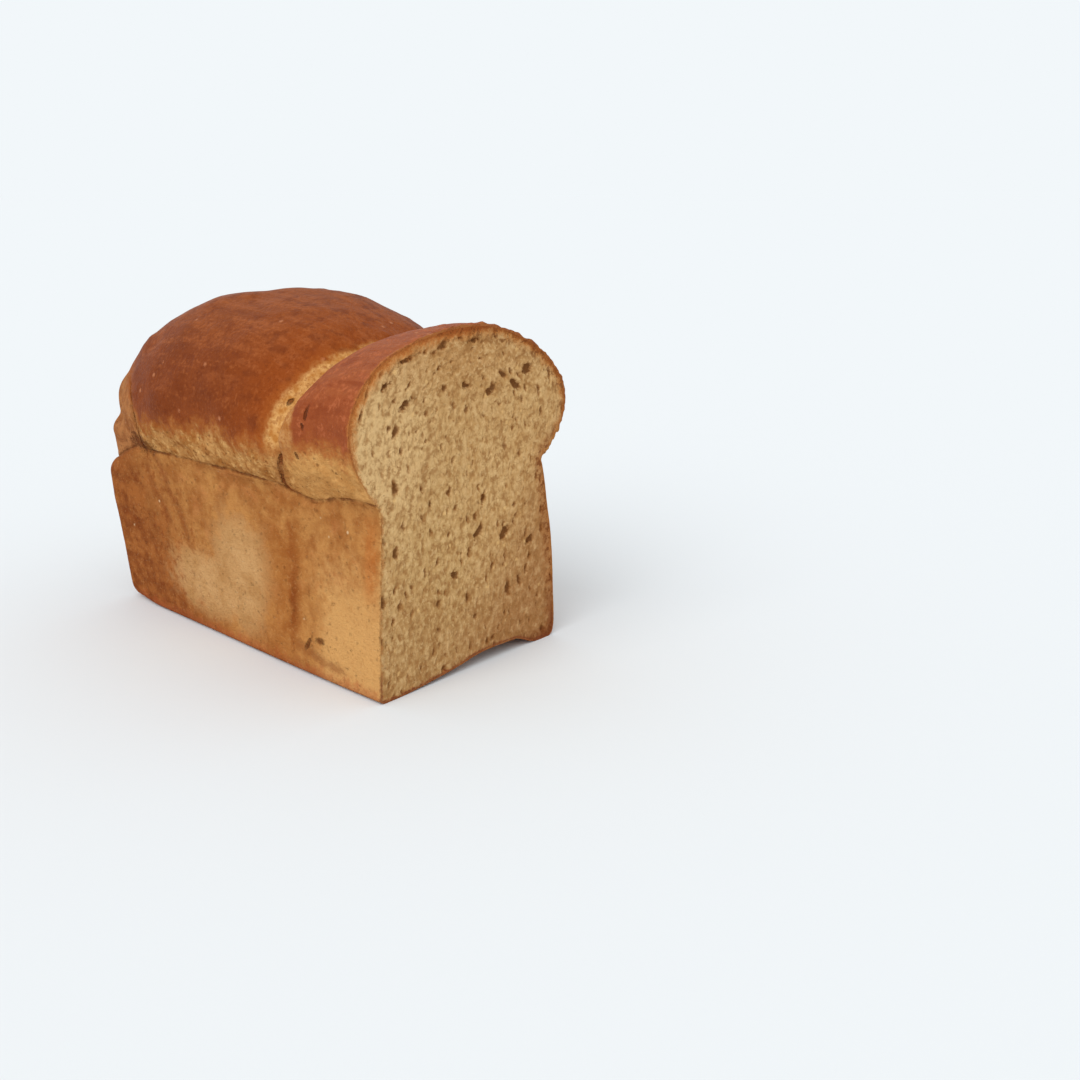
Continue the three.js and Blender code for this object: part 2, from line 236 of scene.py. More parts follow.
def loaf_field(s, y, z):
    """Below zero inside the loaf, and about the distance to its surface."""
    lobes = merged(risen_lobe(FRONT_LOBE, s, y, z), risen_lobe(REAR_LOBE, s, y, z), BLEND["lobes"])
    risen = merged(lobes, neck_band(s, y, z), BLEND["neck"])
    body = merged(risen, tin_block(s, y, z), mix(BLEND["rim"], BLEND["far_rim"], near_end(s)))
    wave = 0
    for height, lengths, shifts in SWELLS:
        waves = [np.sin(2 * np.pi * v / length + turn) for v, length, turn in zip((s, y, z), lengths, shifts)]
        wave = wave + height * math.prod(waves)
    near_fold = bell(s, END_FOLD["at"], END_FOLD["width"]) * bell(y, END_FOLD["across"], END_FOLD["width"])
    fold_shown = smooth(END_FOLD["bottom"], z) * (1 - smooth(END_FOLD["top"], z))
    return body + wave * smooth(SWELL_START, z) + END_FOLD["depth"] * near_fold * fold_shown


def field_at(points):
    return loaf_field(points[:, 0], points[:, 1], points[:, 2])


def field_slope(points, step=0.05):
    """The field's change for each millimetre along s, y and z."""
    slopes = [field_at(points + step * axis) - field_at(points - step * axis) for axis in np.eye(3)]
    return np.stack(slopes, axis=1) / (2 * step)


def outer_points(origins, directions, depth=0.0):
    """Where rays from inside leave the loaf, or come within the depth of its surface."""
    depth = np.broadcast_to(depth, len(origins))
    low = np.full(len(origins), MARCH["first"])
    climbing = np.arange(len(origins))
    while len(climbing):
        ahead = low[climbing] + MARCH["stride"]
        places = origins[climbing] + directions[climbing] * ahead[:, None]
        inside = field_at(places) < -depth[climbing]
        climbing = climbing[inside]
        low[climbing] += MARCH["stride"]
    high = low + MARCH["stride"]
    for _ in range(MARCH["halvings"]):
        middle = (low + high) / 2
        inside = field_at(origins + directions * middle[:, None]) < -depth
        low = np.where(inside, middle, low)
        high = np.where(inside, high, middle)
    return origins + directions * ((low + high) / 2)[:, None]


def axis_height(s):
    return mix(AXIS_NEAR, RIM["far"], smooth(AXIS_FALL, s))


def arc_angles(s):
    """Angles round the axis, with lattice lines held on both rims and both base edges."""
    place = min(s, TIN["length"])
    axis = axis_height(place)
    whole = 2 * math.pi

    def angle_to(side, z):
        return math.atan2(z - axis, side * wall_half_width(place, side, z))

    right_rim = angle_to(1, rim_height(place, RIM["crossing"][1] + 1))
    left_rim = (angle_to(-1, rim_height(place, RIM["crossing"][0] - 1)) + whole) % whole
    stretches = (
        (right_rim, left_rim, ARC_COUNTS["dome"]),
        (left_rim, angle_to(-1, 0) + whole, ARC_COUNTS["wall"]),
        (angle_to(-1, 0) + whole, angle_to(1, 0) + whole, ARC_COUNTS["base"]),
        (angle_to(1, 0) + whole, right_rim + whole, ARC_COUNTS["wall"]),
    )
    arcs = []
    for start, end, count in stretches:
        t = np.arange(count) / count
        arcs.append(mix(start, end, t - EASING * np.sin(whole * t) / whole))
    return np.concatenate(arcs)


def ring_places():
    """Each ring's distance from the cut, and its size: past the far corners the rings shrink to a point."""
    places = []
    for start, end, count in RING_STEPS:
        places += [(s, 1.0) for s in np.linspace(start, end, count, endpoint=False)]
    for t in np.arange(WALL_RINGS) / (WALL_RINGS - 1):
        places.append((mix(CAP_CENTRE, TIN["length"], 1 - (1 - t) ** STEP_EASE), 1.0))
    for t in np.arange(1, END_RINGS) / END_RINGS:
        places.append((TIN["length"], 1 - t**STEP_EASE))
    return places


def crust_lattice():
    """Points of the crust as rings from the cut face to the far end."""
    places = ring_places()
    round_count = sum(ARC_COUNTS.values()) + ARC_COUNTS["wall"]
    near = np.array([min(s, CAP_CENTRE) for s, _ in places])
    origins = np.stack([near, np.zeros_like(near), axis_height(near)], axis=1).repeat(round_count, axis=0)
    angles = np.concatenate([arc_angles(s) for s, _ in places])
    across = np.stack([np.zeros_like(angles), np.cos(angles), np.sin(angles)], axis=1)
    points = outer_points(origins, across)
    beyond = np.array([s - CAP_CENTRE for s, _ in places]).repeat(round_count)
    shrink = np.array([size for _, size in places]).repeat(round_count)
    turned = beyond > 0
    spread = (points[turned] - origins[turned]) * shrink[turned, None]
    spread[:, 0] = beyond[turned]
    spread /= np.linalg.norm(spread, axis=1, keepdims=True)
    points[turned] = outer_points(origins[turned], spread)
    return points.reshape(len(places), round_count, 3), across[:round_count]


def ring_faces(first, second):
    """Quads between two closed rings of vertices, facing out where the second is farther from the cut."""
    return np.stack([first, second, np.roll(second, -1), np.roll(first, -1)], axis=1)


def to_frame(points):
    """From distances on the loaf to metres in its frame."""
    return np.stack([CUT_X - points[:, 0], points[:, 1] + MIDDLE_Y, points[:, 2]], axis=1) / METRE


def add_numbers(mesh, name, numbers):
    kind, field = ("FLOAT", "value") if numbers.ndim == 1 else ("FLOAT_VECTOR", "vector")
    layer = mesh.attributes.new(name, kind, "POINT")
    layer.data.foreach_set(field, np.ascontiguousarray(numbers, np.float32).ravel())


def placed(name, data):
    """A new object that holds the data, in the scene."""
    thing = bpy.data.objects.new(name, data)
    bpy.context.scene.collection.objects.link(thing)
    return thing


def closed_mesh(name, points, faces, sharp=()):
    """A smooth-shaded mesh that faces out, with sharp edges along closed rings of its vertices."""
    mesh = bpy.data.meshes.new(name)
    mesh.from_pydata(to_frame(points).tolist(), [], faces)
    mesh.polygons.foreach_set("use_smooth", [True] * len(mesh.polygons))
    lines = {frozenset((int(a), int(b))) for ring in sharp for a, b in zip(ring, np.roll(ring, -1))}
    keys = np.empty(2 * len(mesh.edges), np.int64)
    mesh.edges.foreach_get("vertices", keys)
    is_sharp = [frozenset(pair) in lines for pair in keys.reshape(-1, 2).tolist()]
    mesh.edges.foreach_set("use_edge_sharp", is_sharp)
    return mesh


# How the lower edge of the browned top runs: distance from the cut, height
TOP_EDGE = (
    (0, 103), (20, 104.5), (35, 103), (44, 99), (58, 98.5), (84, 98.5), (96, 103), (117, 99),
    (144, 98), (157, 97), (162, 101), (165, 108), (173, 114), (183, 118), (205, 121),
)
# Cracks in the torn band, as points along them: the seam's lower end, and the fold at the far corner
CRACKS = (
    ((47, 104), (51.5, 97), (54, 92), (56.5, 87), (58, 83), (57, 80), (54, 78.6)),
    ((180, 117), (169.5, 112.7), (164, 106), (163.4, 101), (162.8, 95), (161, 89), (161, 84)),
)
# Past this distance from the cut a crack thins out, by this much for each millimetre
CRACK_TAPER_FROM = 168
CRACK_TAPER = 0.12
# Faint wrinkles pressed into the wall
WRINKLES = (
    ((156, 82), (150, 75), (148, 65), (143, 59), (138, 50), (136, 43)),
    ((163, 74), (160, 66), (155, 58), (150, 50)),
    ((206, 50), (196, 48), (186, 48), (178, 45)),
    ((52, 13), (43, 11), (35, 9), (24, 8)),
)
# How far the stretched band behind the seam reaches: height, distance from the cut
STRETCH_EDGE = (
    (92, 62), (104, 60), (112, 59), (118, 57.5), (124, 55), (130, 51.5), (135, 49), (139, 46),
    (146, 42),
)


def along_line(line, v):
    pairs = np.array(line, float)
    return np.interp(v, pairs[:, 0], pairs[:, 1])


def line_distance(line, s, z):
    """Distance on the side of the loaf from a bent line."""
    nearest = np.full(len(s), FAR)
    for (s0, z0), (s1, z1) in zip(line, line[1:]):
        ds, dz = s1 - s0, z1 - z0
        t = np.clip(((s - s0) * ds + (z - z0) * dz) / (ds * ds + dz * dz), 0, 1)
        nearest = np.minimum(nearest, np.hypot(s - s0 - t * ds, z - z0 - t * dz))
    return nearest


def crust_mesh():
    lattice, cut_rays = crust_lattice()
    rings, round_count = lattice.shape[:2]
    outer = lattice.reshape(-1, 3)
    cut_ring = lattice[0]
    steepness = np.linalg.norm(field_slope(cut_ring)[:, 1:], axis=1)
    cut_axis = np.tile([0.0, 0.0, AXIS_NEAR], (round_count, 1))
    inner = outer_points(cut_axis, cut_rays, EDGE_WIDTH * steepness)
    middle = np.array([[POCKET_DEPTH, 0, AXIS_NEAR]])
    pocket = mix(inner + [POCKET_DEPTH, 0, 0], middle, POCKET_NARROWING)
    far_axis = np.array([[CAP_CENTRE, 0.0, axis_height(CAP_CENTRE)]])
    tip = outer_points(far_axis, np.array([[1.0, 0, 0]]))
    points = np.concatenate([outer, inner, pocket, middle, tip])
    points[np.abs(points[:, 2]) < BASE_SNAP, 2] = 0
    numbers = np.arange(len(outer)).reshape(rings, round_count)
    inner_ring = len(outer) + np.arange(round_count)
    pocket_ring = inner_ring + round_count
    middle_point = len(points) - 2
    tip_point = len(points) - 1
    quads = [ring_faces(numbers[r], numbers[r + 1]) for r in range(rings - 1)]
    quads += [ring_faces(pocket_ring, inner_ring), ring_faces(inner_ring, numbers[0])]
    faces = np.concatenate(quads).tolist()
    last = numbers[-1]
    faces += [[tip_point, int(b), int(a)] for a, b in zip(last, np.roll(last, -1))]
    faces += [[middle_point, int(a), int(b)] for a, b in zip(pocket_ring, np.roll(pocket_ring, -1))]
    mesh = closed_mesh("crust", points, faces, (numbers[0], inner_ring, pocket_ring))
    s, y, z = points.T
    is_outer = np.zeros(len(points))
    is_outer[: len(outer)] = 1
    is_outer[tip_point] = 1
    out = field_slope(points)
    out[:, 0] *= smooth(CUT_SQUARING, s)
    out /= np.maximum(np.linalg.norm(out, axis=1, keepdims=True), LEAST_LENGTH)
    out[:, 0] *= -1
    add_numbers(mesh, "out", out * is_outer[:, None])
    add_numbers(mesh, "above_edge", z - along_line(TOP_EDGE, s))
    add_numbers(mesh, "above_rim", z - rim_height(s, y))
    add_numbers(mesh, "from_seam", risen_lobe(REAR_LOBE, s, y, z) - risen_lobe(FRONT_LOBE, s, y, z))
    add_numbers(mesh, "stretch", along_line(STRETCH_EDGE, z) - s)
    to_crack = np.min([line_distance(line, s, z) for line in CRACKS], axis=0)
    to_crack += CRACK_TAPER * np.maximum(s - CRACK_TAPER_FROM, 0)
    add_numbers(mesh, "crack", np.where(y < 0, to_crack, FAR))
    add_numbers(mesh, "wrinkle", np.min([line_distance(line, s, z) for line in WRINKLES], axis=0))
    add_numbers(mesh, "loose", smooth(LOOSE_FROM_BASE, z) * is_outer)
    return mesh


def crumb_mesh():
    """The cut face as a fine grid that ends on the crust, with a wall and a flat back."""
    depth = EDGE_WIDTH - CRUMB_OVERLAP
    across = np.arange(-CRUMB_SPAN, CRUMB_SPAN, CRUMB_CELL)
    up = np.arange(0, CRUMB_TOP, CRUMB_CELL)
    grid_y, grid_z = np.meshgrid(across, up, indexing="ij")
    grid = np.stack([np.zeros(grid_y.size), grid_y.ravel(), grid_z.ravel()], axis=1)

    def rim_distance(points):
        slope = np.linalg.norm(field_slope(points)[:, 1:], axis=1)
        return -field_at(points) / np.maximum(slope, LEAST_SLOPE)

    distance = rim_distance(grid).reshape(grid_y.shape)
    inside = distance > depth + CELL_MARGIN * CRUMB_CELL
    kept = inside[:-1, :-1] & inside[1:, :-1] & inside[1:, 1:] & inside[:-1, 1:]
    numbers = np.arange(grid_y.size).reshape(grid_y.shape)
    corners = [numbers[:-1, :-1], numbers[1:, :-1], numbers[1:, 1:], numbers[:-1, 1:]]
    quads = np.stack([c[kept] for c in corners], axis=1)
    used, quads = np.unique(quads, return_inverse=True)
    quads = quads.reshape(-1, 4)
    points = grid[used]
    starts = quads.ravel()
    ends = np.roll(quads, -1, axis=1).ravel()
    forward = starts * len(points) + ends
    backward = ends * len(points) + starts
    open_edges = ~np.isin(forward, backward)
    follows = dict(zip(starts[open_edges].tolist(), ends[open_edges].tolist()))
    border = [next(iter(follows))]
    while follows[border[-1]] != border[0]:
        border.append(follows[border[-1]])
    border = np.array(border)
    for _ in range(BORDER_ROUNDS):
        place = points[border]
        slope = field_slope(place)[:, 1:]
        steep = np.maximum(np.linalg.norm(slope, axis=1, keepdims=True), LEAST_SLOPE)
        gap = -field_at(place)[:, None] / steep - depth
        points[border, 1:] += np.clip(gap, -BORDER_STEP, BORDER_STEP) * slope / steep
    rim = rim_distance(points)
    front_count = len(points)
    middle = np.array([[CRUMB_DEPTH, 0, AXIS_NEAR]])
    back = mix(points[border] + [CRUMB_DEPTH, 0, 0], middle, POCKET_NARROWING)
    points = np.concatenate([points, back, middle])
    points[:front_count, 0] = CRUMB_RECESS
    back_ring = front_count + np.arange(len(border))
    wall = np.stack([np.roll(border, -1), border, back_ring, np.roll(back_ring, -1)], axis=1)
    faces = quads.tolist() + wall.tolist()
    last = len(points) - 1
    faces += [[last, int(b), int(a)] for a, b in zip(back_ring, np.roll(back_ring, -1))]
    mesh = closed_mesh("crumb", points, faces, (border, back_ring))
    on_face = np.zeros(len(points))
    on_face[:front_count] = smooth(FACE_EASE, rim - depth)
    add_numbers(mesh, "on_face", on_face)
    full_rim = np.zeros(len(points))
    full_rim[:front_count] = rim
    add_numbers(mesh, "rim", full_rim)
    edge = np.full(len(points), FAR)
    for hole_y, hole_z, length, width, tilt in WIDE_HOLES:
        turn = math.radians(tilt)
        dy = points[:, 1] - hole_y
        dz = points[:, 2] - hole_z
        u = (dy * math.cos(turn) + dz * math.sin(turn)) / (length / 2)
        v = (dz * math.cos(turn) - dy * math.sin(turn)) / (width / 2)
        edge = np.minimum(edge, (np.hypot(u, v) - 1) * width / 2)
    add_numbers(mesh, "hole_edge", edge)
    return mesh


class Value:
    """A socket of a node tree. Sums and products on it add Math nodes to that tree."""

    def __init__(self, nodes, socket):
        self.nodes = nodes
        self.socket = socket

    def other(self, name):
        """Another output of the same node."""
        return Value(self.nodes, self.socket.node.outputs[name])

    def __add__(self, other):
        return self.nodes.maths("ADD", self, other)

    def __radd__(self, other):
        return self.nodes.maths("ADD", other, self)

    def __sub__(self, other):
        return self.nodes.maths("SUBTRACT", self, other)

    def __rsub__(self, other):
        return self.nodes.maths("SUBTRACT", other, self)

    def __mul__(self, other):
        return self.nodes.maths("MULTIPLY", self, other)

    def __truediv__(self, other):
        return self.nodes.maths("DIVIDE", self, other)


class Nodes:
    """Adds nodes to one tree."""

    def __init__(self, tree):
        self.tree = tree

    def add(self, kind, settings=None, sockets=None, out=0):
        node = self.tree.nodes.new(kind)
        for name, setting in (settings or {}).items():
            setattr(node, name, setting)
        for name, given in (sockets or {}).items():
            if isinstance(given, Value):
                self.tree.links.new(given.socket, node.inputs[name])
            else:
                node.inputs[name].default_value = given
        return Value(self, node.outputs[out]) if node.outputs else node

    def maths(self, operation, *values):
        return self.add("ShaderNodeMath", {"operation": operation}, dict(enumerate(values)))

    def most(self, first, *others):
        """The highest of the values."""
        for other in others:
            first = self.maths("MAXIMUM", first, other)
        return first

    def ease(self, value, low, high):
        """0 at low, 1 at high, and smooth between them."""
        sockets = {"Value": value, "From Min": low, "From Max": high}
        return self.add("ShaderNodeMapRange", {"interpolation_type": "SMOOTHSTEP"}, sockets)

    def hump(self, value, middle, width):
        """1 at the middle, falling away over the width."""
        offset = (value - middle) / width
        return self.maths("EXPONENT", offset * offset * -1)

    def between(self, value, low, high, soft):
        """1 from low to high, falling to 0 over the soft distance on both sides."""
        return self.ease(value, low - soft, low + soft) * self.ease(value, high + soft, high - soft)

    def vector(self, x=0.0, y=0.0, z=0.0):
        return self.add("ShaderNodeCombineXYZ", None, {0: x, 1: y, 2: z})

    def parts(self, vector):
        x = self.add("ShaderNodeSeparateXYZ", None, {0: vector})
        return x, x.other("Y"), x.other("Z")

    def vector_maths(self, operation, a, b):
        return self.add("ShaderNodeVectorMath", {"operation": operation}, {0: a, 1: b})

    def scaled(self, vector, factor):
        return self.add("ShaderNodeVectorMath", {"operation": "SCALE"}, {0: vector, "Scale": factor})

    def noise(self, vector, size, detail=3.0, roughness=0.5, distortion=0.0):
        """Noise from about 0.2 to 0.8, with features of about the given size."""
        sockets = {"Vector": vector, "Scale": 1 / size, "Detail": detail, "Roughness": roughness}
        return self.add("ShaderNodeTexNoise", None, {**sockets, "Distortion": distortion})

    def grain(self, *noise_values):
        """The same noise, moved to lie about zero."""
        return self.noise(*noise_values) - 0.5

    def cells(self, vector, size, dimensions="3D"):
        """Distance to the nearest of points that lie about one size apart, in sizes."""
        sockets = {"Vector": vector, "Scale": 1 / size}
        return self.add("ShaderNodeTexVoronoi", {"voronoi_dimensions": dimensions}, sockets)

    def tinted(self, share, a, b):
        """Colour a, turning to colour b by the share. Each is a socket or 8-bit screen values."""
        a, b = (paint if isinstance(paint, Value) else tone(*paint) for paint in (a, b))
        settings = {"data_type": "RGBA", "clamp_factor": True}
        return self.add("ShaderNodeMix", settings, {0: share, 6: a, 7: b}, out=2)

    def layered(self, colour, *layers):
        """The colour under further ones, each given with its share."""
        for share, paint in layers:
            colour = self.tinted(share, colour, paint)
        return colour


def tone(red, green, blue):
    """A colour as 8-bit screen values, turned into linear light."""
    values = [v / 255 for v in (red, green, blue)]
    linear = [v / 12.92 if v <= 0.04045 else ((v + 0.055) / 1.055) ** 2.4 for v in values]
    return (*linear, 1.0)


def shape_tree(name, sizes):
    """A Geometry Nodes tree with a named input for each size: its nodes, its mesh and its inputs."""
    tree = bpy.data.node_groups.new(name, "GeometryNodeTree")
    tree.interface.new_socket("Mesh", in_out="INPUT", socket_type="NodeSocketGeometry")
    for label in sizes:
        tree.interface.new_socket(label, in_out="INPUT", socket_type="NodeSocketFloat")
    tree.interface.new_socket("Finish", in_out="INPUT", socket_type="NodeSocketMaterial")
    tree.interface.new_socket("Mesh", in_out="OUTPUT", socket_type="NodeSocketGeometry")
    nodes = Nodes(tree)
    mesh = nodes.add("NodeGroupInput")
    return nodes, mesh, {label: mesh.other(label) for label in sizes}


def close_tree(nodes, mesh, group_mesh):
    realized = nodes.add("GeometryNodeRealizeInstances", None, {"Geometry": mesh})
    sockets = {"Geometry": realized, "Material": group_mesh.other("Finish")}
    finished = nodes.add("GeometryNodeSetMaterial", None, sockets)
    nodes.add("NodeGroupOutput", None, {"Mesh": finished})


def named(nodes, name, kind="FLOAT"):
    return nodes.add("GeometryNodeInputNamedAttribute", {"data_type": kind}, {"Name": name})


def shaped(name, mesh, tree, sizes, finish):
    """The mesh after its tree has shaped it, as a plain object."""
    source = placed(name + "_plain", mesh)
    modifier = source.modifiers.new("shape", "NODES")
    modifier.node_group = tree
    inputs = dict(sizes, Finish=finish)
    for item in tree.interface.items_tree:
        if item.in_out == "INPUT" and item.name in inputs:
            modifier[item.identifier] = inputs[item.name]
    graph = bpy.context.evaluated_depsgraph_get()
    result = bpy.data.meshes.new_from_object(source.evaluated_get(graph))
    bpy.data.objects.remove(source)
    return placed(name, result)


# How high and how deep the crust's relief is, in millimetres
CRUST_RELIEF = {
    "Wrinkle depth": 0.25, "Blister height": 0.45, "Torn depth": 1.0, "Lump height": 1.3,
    "Dimple depth": 0.14, "Crack depth": 0.6, "Ragged height": 2.0,
}


def crust_relief():
    """Raises and sinks the crust along its outward direction."""
    nodes, group_mesh, size = shape_tree("crust relief", CRUST_RELIEF)
    ease, hump = nodes.ease, nodes.hump
    place = nodes.scaled(nodes.add("GeometryNodeInputPosition"), METRE)
    x, y, _ = nodes.parts(place)
    above_edge = named(nodes, "above_edge")
    above_rim = named(nodes, "above_rim")
    from_seam = named(nodes, "from_seam")
    top = ease(above_edge, -2, 4)
    calmer = ease(x, CUT_X - 158, CUT_X - 168) * 0.95
    torn = ease(above_rim, -0.5, 2.5) * (1 - top) * (1 - calmer)
    wall = ease(above_rim, 0, -3)
    long_place = nodes.vector_maths("MULTIPLY", place, (0.16, 1, 1))
    wrinkle = nodes.grain(long_place, 5, 3, 0.55)
    blister = ease(nodes.cells(place, 17), 0.22, 0.05)
    upright_place = nodes.vector_maths("MULTIPLY", place, (1, 1, 0.8))
    tear = nodes.grain(upright_place, 3.2, 4, 0.65, 0.6)
    lump = nodes.grain(place, 7.5, 2, 0.5)
    dimple = nodes.grain(place, 3, 3, 0.55)
    seam_line = hump(from_seam, 0, 1.6) * ease(above_edge, 34, 6)
    seam_line = seam_line * ease(above_edge, -4, 2)
    rim_line = hump(above_rim, 0.6, 0.9)
    crack = ease(named(nodes, "crack"), 1.5, 0.2)
    near_cut = ease(x, CUT_X - 7, CUT_X - 1) * ease(above_rim, 0, 6)
    near_cut = near_cut * ease(y, -70, 10)
    ragged = nodes.most(nodes.noise(place, 3.4, 3, 0.6) - 0.44, -0.06)
    height = (
        wrinkle * 2 * size["Wrinkle depth"] * top
        + blister * size["Blister height"] * top
        + tear * 2 * size["Torn depth"] * torn
        + lump * 2 * size["Lump height"] * torn
        + dimple * 2 * size["Dimple depth"] * wall
        + ragged * 2 * size["Ragged height"] * near_cut
        - nodes.most(crack, seam_line, rim_line) * size["Crack depth"]
    )
    lift = height * named(nodes, "loose") / METRE
    offset = nodes.scaled(named(nodes, "out", "FLOAT_VECTOR"), lift)
    moved = nodes.add("GeometryNodeSetPosition", None, {"Geometry": group_mesh, "Offset": offset})
    close_tree(nodes, moved, group_mesh)
    return nodes.tree


# How far apart and how deep the crumb's holes are, in millimetres, and how many times longer than wide
CRUMB_HOLES = {
    "Wide spacing": 8.0, "Middle spacing": 3.6, "Fine spacing": 2.0, "Weave size": 1.35,
    "Stretch": 2.1, "Warp": 2.2, "Fray": 0.9, "Wide depth": 1.5, "Middle depth": 1.0,
    "Fine depth": 0.35, "Weave depth": 0.16, "Seed": 4.0,
}


def crumb_holes():
    """Sinks holes into the cut face: drawn out along the crust in the dome, and upright below it."""
    nodes, group_mesh, size = shape_tree("crumb holes", CRUMB_HOLES)
    ease = nodes.ease
    place = nodes.scaled(nodes.add("GeometryNodeInputPosition"), METRE)
    seeded = nodes.vector_maths("ADD", place, nodes.vector(size["Seed"] * 37, 0, 0))

    def drift(at, feature, reach):
        sway = nodes.noise(seeded, feature, 2).other("Color")
        moved_by = nodes.scaled(nodes.vector_maths("SUBTRACT", sway, (0.5, 0.5, 0.5)), reach * 2)
        return nodes.vector_maths("ADD", at, moved_by)

    _, y, z = nodes.parts(drift(drift(place, 6.5, size["Warp"]), 1.5, size["Fray"]))
    rise = z - DOME_CENTRE
    radius = nodes.maths("SQRT", y * y + rise * rise)
    round_way = nodes.maths("ARCTAN2", y, rise) * 42 / size["Stretch"]
    dome_grain = nodes.vector(radius, round_way + size["Seed"], 0)
    upright_grain = nodes.vector(y, z / size["Stretch"] + size["Seed"], 0)
    in_dome = ease(z, *DOME_LEVEL) * ease(radius, 12, 27)

    def holes(spacing, share, widest, edge):
        """Holes at random places, the given share of them open, each of a random width."""
        layers = []
        for grain in (upright_grain, dome_grain):
            near = nodes.scaled(grain, nodes.maths("DIVIDE", 1, spacing))
            distance = nodes.cells(near, 1, "2D")
            chance, _, _ = nodes.parts(distance.other("Color"))
            width = ease(chance, 1 - share, 1.02) * widest
            is_open = ease(chance, 1 - share, 1.1 - share)
            layers.append(ease(distance - width, edge, -edge) * is_open)
        return mix(*layers, in_dome)

    def weave(grain):
        """The fine open cells between the holes."""
        near = nodes.scaled(grain, nodes.maths("DIVIDE", 1, size["Weave size"]))
        return ease(nodes.noise(near, 1, 2, 0.6), 0.4, 0.66)

    wide = holes(size["Wide spacing"], 0.36, 0.17, 0.13) * size["Wide depth"]
    middle = holes(size["Middle spacing"], 0.42, 0.25, 0.17) * size["Middle depth"]
    fine = holes(size["Fine spacing"], 0.9, 0.36, 0.34) * size["Fine depth"]
    frayed = named(nodes, "hole_edge") + nodes.grain(seeded, 1.9, 3) * 4
    chosen = ease(frayed, 0.6, -1) * size["Wide depth"] * 1.1
    open_cells = mix(weave(upright_grain), weave(dome_grain), in_dome)
    hollow = nodes.most(chosen, wide, middle)
    depth = nodes.most(hollow, fine) + open_cells * size["Weave depth"]
    offset = nodes.vector(depth * named(nodes, "on_face") / (-METRE), 0, 0)
    shape = nodes.add("GeometryNodeSetPosition", None, {"Geometry": group_mesh, "Offset": offset})
    openness = fine / size["Fine depth"] * 0.6 + open_cells * 0.6
    for label, number in (("hollow", hollow), ("open", openness)):
        sockets = {"Geometry": shape, "Name": label, "Value": number}
        shape = nodes.add("GeometryNodeStoreNamedAttribute", None, sockets)
    close_tree(nodes, shape, group_mesh)
    return nodes.tree


def new_finish(name):
    material = bpy.data.materials.new(name)
    material.use_nodes = True
    material.node_tree.nodes.clear()
    return material, Nodes(material.node_tree)


def painted(nodes, name):
    """A number that the mesh carries."""
    return nodes.add("ShaderNodeAttribute", {"attribute_name": name}, out="Fac")


def finish_surface(nodes, colour, roughness, height, bump_distance, gloss):
    normal = nodes.add("ShaderNodeBump", None, {"Distance": bump_distance, "Height": height})
    sockets = {"Base Color": colour, "Roughness": roughness, "Normal": normal, "Specular IOR Level": gloss}
    surface = nodes.add("ShaderNodeBsdfPrincipled", None, sockets)
    nodes.add("ShaderNodeOutputMaterial", None, {"Surface": surface})


# How deep the fine grain of each surface looks, in metres, and how much it shines
CRUST_BUMP = 0.0008
CRUST_GLOSS = 0.03
CRUMB_BUMP = 0.0004
CRUMB_GLOSS = 0.04


def loaf_place(nodes):
    """Distance from the cut, place across and height in millimetres, and all three as one vector."""
    at = nodes.scaled(nodes.add("ShaderNodeTexCoord", out="Object"), METRE)
    x, y, z = nodes.parts(at)
    return CUT_X - x, y - MIDDLE_Y, z, at


def pit_mask(nodes, s, z, left_side, ragged):
    """Dark pits and short cracks at their own places on the long side."""
    marks = []
    for pit_s, pit_z, length, width, tilt in PITS:
        turn = math.radians(tilt)
        ds = s - pit_s
        dz = z - pit_z
        u = (dz * math.sin(turn) - ds * math.cos(turn)) / (length / 2)
        v = (ds * math.sin(turn) + dz * math.cos(turn)) / (width / 2)
        reach = nodes.maths("SQRT", u * u + v * v)
        marks.append(nodes.ease(reach + ragged, 1.45, 0.35))
    return nodes.most(*marks) * left_side


